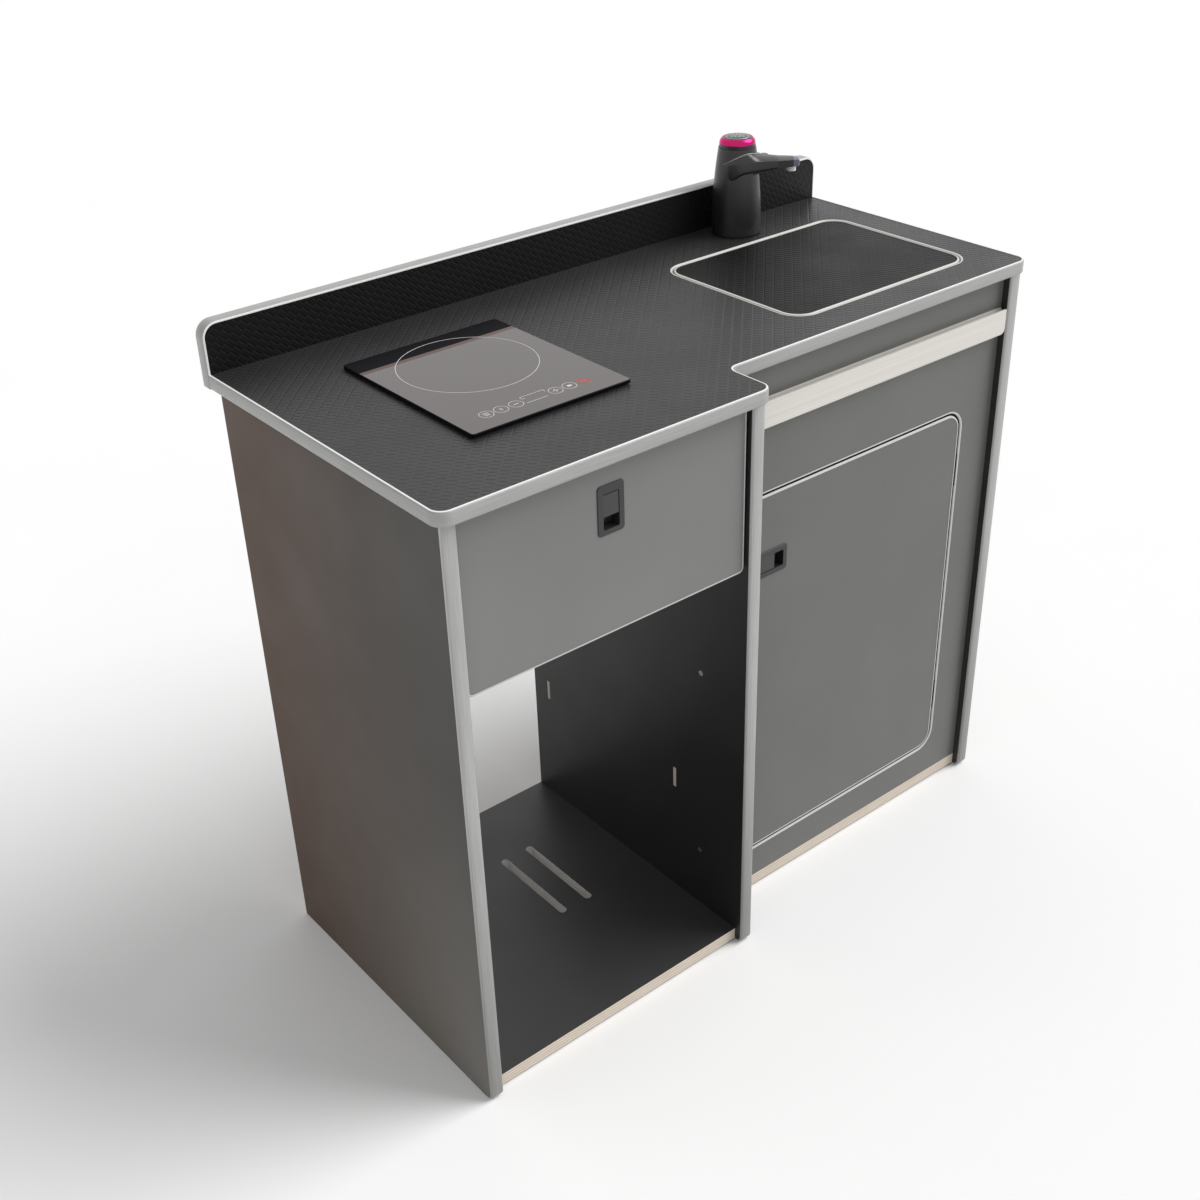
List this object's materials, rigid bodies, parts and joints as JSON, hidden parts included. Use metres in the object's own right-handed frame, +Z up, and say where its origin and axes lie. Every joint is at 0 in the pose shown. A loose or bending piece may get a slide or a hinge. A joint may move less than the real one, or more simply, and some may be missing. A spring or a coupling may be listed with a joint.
{
  "type": "campervan kitchen pod",
  "caption": "L-shaped campervan kitchen pod with a drawer over an open bay, a cupboard with a flush-latched door, a lidded sink, a swivelling tap, a small hob and a table rail.",
  "frame": {"origin": "centre of the overall footprint, on the floor under the side panels", "axes": "+X along the pod from the bay towards the cupboard, +Y from the front towards the wall behind, +Z up"},
  "size_m": [1.028, 0.5016, 0.9868],
  "materials": {
    "side_laminate": "satin",
    "dark_laminate": "satin",
    "grey_laminate": "satin",
    "edging": "satin",
    "ivory_rail": "satin",
    "poplar_plywood": "matte",
    "beech": "matte",
    "black_worktop": "textured",
    "stainless": "brushed",
    "black_glass": "gloss",
    "gasket": "matte",
    "hinge_steel": "satin",
    "zinc": "zinc plated",
    "copper": "wound wire",
    "black_plastic": "matte",
    "green_board": "satin",
    "tap_dark": "satin",
    "magenta_ring": "metallic",
    "white_plastic": "satin",
    "latch_plastic": "satin",
    "latch_bolt": "satin"
  },
  "bodies": {
    "carcass": {"left_side_panel": "side_laminate", "divider_panel": "dark_laminate", "right_side_panel": "side_laminate", "bay_base_panel": "dark_laminate", "cupboard_base_panel": "dark_laminate", "bay_front_rail": "dark_laminate", "rear_rails": "dark_laminate", "face_panel": "grey_laminate", "left_side_edging": "edging", "divider_edging": "edging", "right_side_edging": "edging", "door_opening_edging": "edging", "worktop_edging": "edging", "upstand_edging": "edging", "sink_opening_edging": "edging", "table_rail": "ivory_rail", "bottle_rails": "poplar_plywood", "panel_dowels": "beech", "worktop": "black_worktop", "upstand": "black_worktop", "sink_bowl": "stainless", "sink_waste": "stainless", "hob_glass": "black_glass", "hob_gasket": "gasket", "hob_casing": "zinc", "hob_coil": "copper", "hob_fan_frame": "black_plastic", "hob_control_board": "green_board", "tap_mount": "black_plastic", "runner_outers": "zinc", "latch_keepers": "zinc", "hinge_leaves_stile": "hinge_steel", "divider_screws": "zinc", "worktop_brackets": "zinc"},
    "runner_middles": {"runner_middle_left": "zinc", "runner_middle_right": "zinc"},
    "drawer": {"drawer_front": "grey_laminate", "drawer_front_edging": "edging", "drawer_side_left": "poplar_plywood", "drawer_side_right": "poplar_plywood", "drawer_back": "poplar_plywood", "drawer_bottom": "poplar_plywood", "runner_inner_left": "zinc", "runner_inner_right": "zinc", "drawer_latch_housing": "latch_plastic"},
    "drawer_paddle": {"drawer_latch_paddle": "latch_plastic"},
    "drawer_bolt": {"drawer_latch_bolt": "latch_bolt"},
    "door": {"door_panel": "grey_laminate", "door_edging": "edging", "door_latch_housing": "latch_plastic", "hinge_leaves_door": "hinge_steel"},
    "door_paddle": {"door_latch_paddle": "latch_plastic"},
    "door_bolt": {"door_latch_bolt": "latch_bolt"},
    "lid": {"sink_lid": "black_worktop", "sink_lid_edging": "edging"},
    "tap": {"tap_body": "tap_dark", "tap_ring": "magenta_ring", "tap_nozzle": "white_plastic"},
    "button": {"tap_button": "tap_dark"},
    "fan": {"hob_fan_impeller": "black_plastic"}
  },
  "joints": [
    {"name": "drawer_slide", "type": "slide", "parent": "carcass", "child": "drawer", "axis": [0, -1, 0], "range_m": [0, 0.35]},
    {"name": "runner_middle_slide", "type": "slide", "parent": "carcass", "child": "runner_middles", "axis": [0, -1, 0], "range_m": [0, 0.175]},
    {"name": "drawer_paddle_turn", "type": "hinge", "parent": "drawer", "child": "drawer_paddle", "pos_m": [-0.277, -0.22735, 0.7846], "axis": [-1, 0, 0], "range_deg": [0, 28]},
    {"name": "drawer_bolt_slide", "type": "slide", "parent": "drawer", "child": "drawer_bolt", "axis": [0, 0, -1], "range_m": [0, 0.008], "stiffness_N_per_m": 150, "springref_m": -0.008},
    {"name": "door_hinge", "type": "hinge", "parent": "carcass", "child": "door", "pos_m": [0.4175, -0.15785, 0.362], "axis": [0, 0, 1], "range_deg": [0, 100]},
    {"name": "door_paddle_turn", "type": "hinge", "parent": "door", "child": "door_paddle", "pos_m": [0.0274, -0.15735, 0.546], "axis": [0, 0, -1], "range_deg": [0, 28]},
    {"name": "door_bolt_slide", "type": "slide", "parent": "door", "child": "door_bolt", "axis": [1, 0, 0], "range_m": [0, 0.008], "stiffness_N_per_m": 150, "springref_m": -0.008},
    {"name": "sink_lid_lift", "type": "slide", "parent": "carcass", "child": "lid", "axis": [0, 0, 1], "range_m": [0, 0.06]},
    {"name": "tap_swivel", "type": "hinge", "parent": "carcass", "child": "tap", "pos_m": [0.312, 0.19225, 0.9], "axis": [0, 0, 1], "range_deg": [-110, 45]},
    {"name": "tap_button_press", "type": "slide", "parent": "tap", "child": "button", "axis": [0, 0, -1], "range_m": [0, 0.001], "stiffness_N_per_m": 800, "springref_m": -0.001},
    {"name": "hob_fan_spin", "type": "hinge", "parent": "carcass", "child": "fan", "pos_m": [-0.324, -0.07975, 0.81], "axis": [0, 0, 1], "continuous": true}
  ],
  "couplings": [
    {"joint": "runner_middle_slide", "follows": "drawer_slide", "ratio": 0.5},
    {"joint": "drawer_paddle_turn", "follows": "drawer_bolt_slide", "rad_per_m": 61.08},
    {"joint": "door_paddle_turn", "follows": "door_bolt_slide", "rad_per_m": 61.08}
  ]
}
